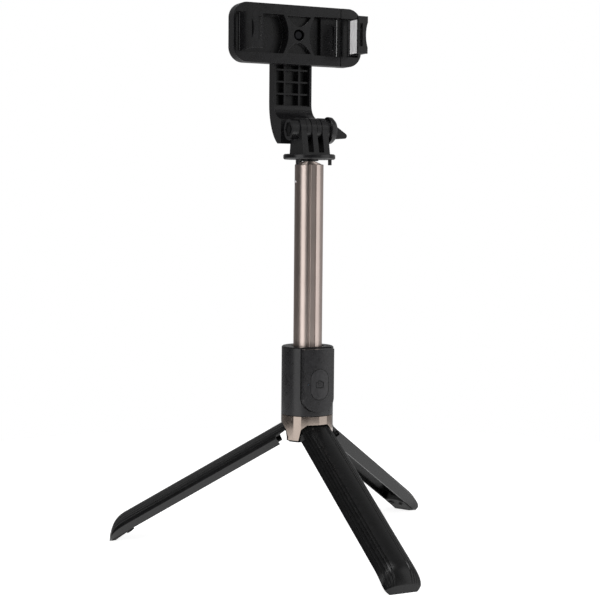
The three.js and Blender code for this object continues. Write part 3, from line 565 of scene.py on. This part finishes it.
def leg_islands():
    """One closed shell for the leg and one for each of its two hinge ears."""
    rows = [head_section(*row) for row in reversed(HEAD_ROWS)]
    for height in CHANNEL_HEIGHTS:
        rows.append(leg_section((LEG_RADIUS, height), (CHANNEL_RADIUS, height)))
    outer, inner = eased(OUTER_NOSE, 4), eased(INNER_NOSE, 4)
    tips = (CHIN_DEPTH, LEG_TIP), (CHIN_DEPTH, CHANNEL_TIP)
    chin = [
        (between(outer[-1], tips[0], share), between(inner[-1], tips[1], share))
        for share in CHIN_SHARES
    ]
    rows += [leg_section(*pair) for pair in [*zip(outer, inner), *chin, tips]]
    reach = len(outer_angles())
    count = 2 * reach + 6
    points = [point for row in rows for point in row]
    faces = ring_faces(len(rows), count)
    faces += end_faces(0, reach) + end_faces((len(rows) - 1) * count, reach)
    return [(points, faces)] + [
        slab(lug_outline(), lambda y, z, x: (x, y, z), x, x + LUG_WIDTH) for x in LUG_STARTS
    ]


def standing(direction):
    """From a closed leg in front of the stick to its standing place."""
    pin = Matrix.Translation((0, -PIVOT_RADIUS, PIVOT_HEIGHT))
    open_leg = pin @ Matrix.Rotation(-math.radians(OPEN_ANGLE), 4, "X") @ pin.inverted()
    return Matrix.Translation(AXIS) @ Matrix.Rotation(math.radians(direction), 4, "Z") @ open_leg


for side, direction in (("front", 0), ("right", 120), ("left", -120)):
    leg = mesh_from(f"leg_{side}_finished", leg_islands(), standing(direction))
    finished(leg, f"leg_{side}", "leg_plastic", [f"leg_{side}"])
    rounded(leg, LEG_EDGE_WIDTH, angle=LEG_SHARP_ANGLE)


# ---- hub: solid webs beside the leg lugs --------------------------------------------------
WEB_OUTER = 14.3
WEB_INNER = 11.0
WEB_LOW = 67.9
WEB_HIGH = 73.0
WEB_ANGLES = (30, 34, 38, 44)  # degrees to either side of a leg
WEB_EDGE = 0.2


def hub_webs():
    islands = []
    for direction in (0, 120, -120):
        for sign in (-1, 1):
            angles = [direction + sign * a for a in WEB_ANGLES]
            outline = [polar(WEB_OUTER, a) for a in angles]
            outline += [polar(WEB_INNER, a) for a in reversed(angles)]
            islands.append(slab(outline, lambda x, y, z: (x, y, z), WEB_LOW, WEB_HIGH))
    return islands


webs = mesh_from("leg_hub_webs", hub_webs(), Matrix.Translation(AXIS))
finished(webs, "handle", "leg_plastic")
rounded(webs, WEB_EDGE)


# ---- outer tube, with a land between two lengthwise slots ---------------------------------
TUBE_RADIUS = 9.1
TUBE_BORE = 7.95
TUBE_SIDES = 120
TUBE_SHARP_ANGLE = 30
GROOVE_ANGLE = -9  # degrees about Z from -Y
LAND_HALF_WIDTH = 1.5
SLOT_WIDTH = 0.85
SLOT_DEPTH = 0.85
LAND_DROP = 0.15
LAND_POINTS = (-0.7, 0, 0.7)
SLOT_EASE = 0.12  # how far the edges of slots and land are cut back
SLOT_DRAFT = 0.05
LOWER_CHAMFER = 0.25
UPPER_CHAMFER = 0.3
BORE_CHAMFER = 0.2


def tube_outline(inset):
    """Round outline with a pair of slots beside a flat land, from one slot round to the other."""
    radius = TUBE_RADIUS - inset
    outside = LAND_HALF_WIDTH + SLOT_WIDTH
    lip = math.degrees(math.asin((outside + SLOT_EASE) / radius))
    wall = math.sqrt(radius ** 2 - outside ** 2)
    floor = TUBE_RADIUS - SLOT_DEPTH
    land = TUBE_RADIUS - LAND_DROP - inset
    side = [
        (outside, -wall + SLOT_EASE),
        (outside - SLOT_DRAFT, -floor),
        (LAND_HALF_WIDTH + SLOT_DRAFT, -floor),
        (LAND_HALF_WIDTH, -land + SLOT_EASE),
        (LAND_HALF_WIDTH - SLOT_EASE, -land),
    ]
    reach = 360 - 2 * lip
    points = [polar(radius, lip + reach * i / (TUBE_SIDES - 1)) for i in range(TUBE_SIDES)]
    points += [(-x, y) for x, y in side]
    points += [(x, -land) for x in LAND_POINTS]
    points += list(reversed(side))
    turn = math.radians(GROOVE_ANGLE)
    return [
        (x * math.cos(turn) - y * math.sin(turn), x * math.sin(turn) + y * math.cos(turn))
        for x, y in points
    ]


def tube_island(bottom, top):
    """The slotted outside from the bottom up, then the round bore from the top down."""
    loops = []
    for height, inset in (
        (bottom, LOWER_CHAMFER),
        (bottom + LOWER_CHAMFER, 0),
        (top - UPPER_CHAMFER, 0),
        (top, UPPER_CHAMFER),
    ):
        loops.append([(x, y, height) for x, y in tube_outline(inset)])
    for height, radius in (
        (top, TUBE_BORE + BORE_CHAMFER),
        (top - BORE_CHAMFER, TUBE_BORE),
        (bottom, TUBE_BORE),
    ):
        scaled = []
        for x, y in tube_outline(0):
            length = math.hypot(x, y)
            scaled.append((x * radius / length, y * radius / length, height))
        loops.append(scaled)
    count = len(loops[0])
    points = [p for loop in loops for p in loop]
    faces = ring_faces(len(loops), count)
    last = (len(loops) - 1) * count
    faces += [[last + i, last + (i + 1) % count, (i + 1) % count, i] for i in range(count)]
    return points, faces


tube_low, tube_high = (corner.z / MM - AXIS.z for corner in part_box("tube_outer"))
tube = mesh_from(
    "tube_outer_finished", [tube_island(tube_low, tube_high)], Matrix.Translation(AXIS)
)
finished(tube, "tube_1", "tube_anodised", ["tube_outer"])
tube.data.shade_smooth()
tube.data.set_sharp_from_angle(angle=math.radians(TUBE_SHARP_ANGLE))

SECTION_EDGE = 0.08
for name in ("tube_section_2", "tube_section_3", "tube_section_4", "tube_section_5"):
    refined(name, SECTION_EDGE)


# ---- remote: camera outline on the button -------------------------------------------------
BUTTON_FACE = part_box("remote_button")[0].y / MM
BUTTON_CENTRE = sum(corner.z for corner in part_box("remote_button")) / 2 / MM
ICON_HALF_WIDTH = 2.3
ICON_HALF_HEIGHT = 1.7
ICON_LINE = 0.42
ICON_DEPTH = 0.12
ICON_LENS = (0.55, 0.95)  # radii of the small ring
ICON_BODY_TOP = 0.8  # heights in shares of the half-height
ICON_HUMP_TOP = 1.25
ICON_HUMP = (0.55, 0.3)  # the hump at its foot and top, in shares of the half-width


def icon_loop(grow):
    """Outline of a small camera with a hump on top, grown outwards."""
    width, height = ICON_HALF_WIDTH + grow, ICON_HALF_HEIGHT + grow
    body, hump = height * ICON_BODY_TOP, height * ICON_HUMP_TOP
    foot, top = (width * share for share in ICON_HUMP)
    right = [(width, -height), (width, body), (foot, body), (top, hump)]
    left = [(-x, z) for x, z in reversed(right)]
    return [left[-1], *right, *left[:-1]]


def icon_island(inner, outer):
    """A thin plate between two outlines of as many points."""
    count = len(inner)
    points = []
    for depth in (0.0, ICON_DEPTH):
        points += [(x, depth, z) for x, z in (*outer, *inner)]
    near = [[i, (i + 1) % count, count + (i + 1) % count, count + i] for i in range(count)]
    far = [[2 * count + i for i in face] for face in near]
    edges = []
    for start in (0, count):
        edges += [
            [start + i, start + (i + 1) % count,
             start + 2 * count + (i + 1) % count, start + 2 * count + i]
            for i in range(count)
        ]
    return points, near + far + edges


def circle(radius, count=24):
    return [
        (radius * math.cos(math.tau * i / count), radius * math.sin(math.tau * i / count))
        for i in range(count)
    ]


icon = mesh_from(
    "remote_icon",
    [
        icon_island(icon_loop(0), icon_loop(ICON_LINE)),
        icon_island(*(circle(radius) for radius in ICON_LENS)),
    ],
    Matrix.Translation((0, BUTTON_FACE, BUTTON_CENTRE)),
)
finished(icon, "shutter_button", "leg_plastic")


# ---- floor and light ----------------------------------------------------------------------
CENTRE = Vector((0, 0.026, 0.2))
SOFTBOX_DISTANCE = 1.4
SOFTBOX_HEIGHT = 1.9
SOFTBOX_MIDDLE = 0.6
# Upright softboxes: azimuth in degrees from -Y towards +X, width, radiance.
SOFTBOXES = {"key": (-70, 0.9, 1.45), "side": (52, 1.1, 0.75)}
OVERHEAD_PLACE = Vector((-0.22, -0.42, 1.3))
OVERHEAD_SIZE = 0.45
OVERHEAD_RADIANCE = 7.0
FLOOR_RADIUS = 0.48
FLOOR_SIDES = 96
FLOOR_GREY = 0.93
FLOOR_ROUGHNESS = 0.8
FLOOR_SPECULAR = 0.1
FLOOR_GLOW = 0.85
DARK_SIDE, BRIGHT_SIDE = 0.05, 0.36  # world towards -X and +X
ROOM_FROM, ROOM_FULL = 0.86, 0.97  # cosines of the angle to the camera
ROOM_SHARE = 0.15  # of the world's light left around the camera


def softbox(name, place, target, width, height, radiance):
    data = bpy.data.lights.new(name, "AREA")
    data.shape = "RECTANGLE"
    data.size, data.size_y = width, height
    data.energy = radiance * math.pi * width * height
    light = bpy.data.objects.new(name, data)
    light.location = place
    light.rotation_euler = (target - place).to_track_quat("-Z", "Y").to_euler()
    bpy.context.scene.collection.objects.link(light)


def make_floor():
    mesh = bpy.data.meshes.new("floor")
    rim = [(x, y, 0) for x, y in circle(FLOOR_RADIUS, FLOOR_SIDES)]
    mesh.from_pydata(rim, [], [list(range(FLOOR_SIDES))])
    floor = bpy.data.objects.new("floor", mesh)
    material = bpy.data.materials.new("floor")
    material.use_nodes = True
    shader = material.node_tree.nodes["Principled BSDF"]
    shader.inputs["Base Color"].default_value = (FLOOR_GREY, FLOOR_GREY, FLOOR_GREY, 1)
    shader.inputs["Roughness"].default_value = FLOOR_ROUGHNESS
    shader.inputs["Specular IOR Level"].default_value = FLOOR_SPECULAR
    shader.inputs["Emission Color"].default_value = (1, 1, 1, 1)
    shader.inputs["Emission Strength"].default_value = FLOOR_GLOW
    mesh.materials.append(material)
    bpy.context.scene.collection.objects.link(floor)


def make_world():
    """White to the camera; to the object dim towards -X and around the camera."""
    world = bpy.data.worlds.new("studio")
    bpy.context.scene.world = world
    world.use_nodes = True
    nodes, links = world.node_tree.nodes, world.node_tree.links
    direction = nodes.new("ShaderNodeTexCoord").outputs["Generated"]

    def along(axis):
        product = nodes.new("ShaderNodeVectorMath")
        product.operation = "DOT_PRODUCT"
        product.inputs[1].default_value = axis
        links.new(direction, product.inputs[0])
        return product.outputs["Value"]

    def ranged(value, *numbers):
        node = nodes.new("ShaderNodeMapRange")
        for key, number in zip(("From Min", "From Max", "To Min", "To Max"), numbers):
            node.inputs[key].default_value = number
        links.new(value, node.inputs["Value"])
        return node.outputs["Result"]

    around = ranged(along((1, 0, 0)), -1, 1, DARK_SIDE, BRIGHT_SIDE)
    room = ranged(along(CAMERA_PLACE.normalized()), ROOM_FROM, ROOM_FULL, 1, ROOM_SHARE)
    dimmed = nodes.new("ShaderNodeMath")
    dimmed.operation = "MULTIPLY"
    links.new(around, dimmed.inputs[0])
    links.new(room, dimmed.inputs[1])
    strength = nodes.new("ShaderNodeMapRange")
    links.new(nodes.new("ShaderNodeLightPath").outputs["Is Camera Ray"], strength.inputs["Value"])
    links.new(dimmed.outputs["Value"], strength.inputs["To Min"])
    strength.inputs["To Max"].default_value = 1.0
    background = nodes["Background"]
    background.inputs["Color"].default_value = (1, 1, 1, 1)
    links.new(strength.outputs["Result"], background.inputs["Strength"])


make_floor()
make_world()
for name, (azimuth, width, radiance) in SOFTBOXES.items():
    x, y = polar(SOFTBOX_DISTANCE, azimuth)
    place = Vector((x, CENTRE.y + y, SOFTBOX_MIDDLE))
    level = Vector((CENTRE.x, CENTRE.y, SOFTBOX_MIDDLE))
    softbox(name, place, level, width, SOFTBOX_HEIGHT, radiance)
softbox("overhead", OVERHEAD_PLACE, CENTRE, OVERHEAD_SIZE, OVERHEAD_SIZE, OVERHEAD_RADIANCE)
bpy.context.scene.view_settings.view_transform = "Standard"
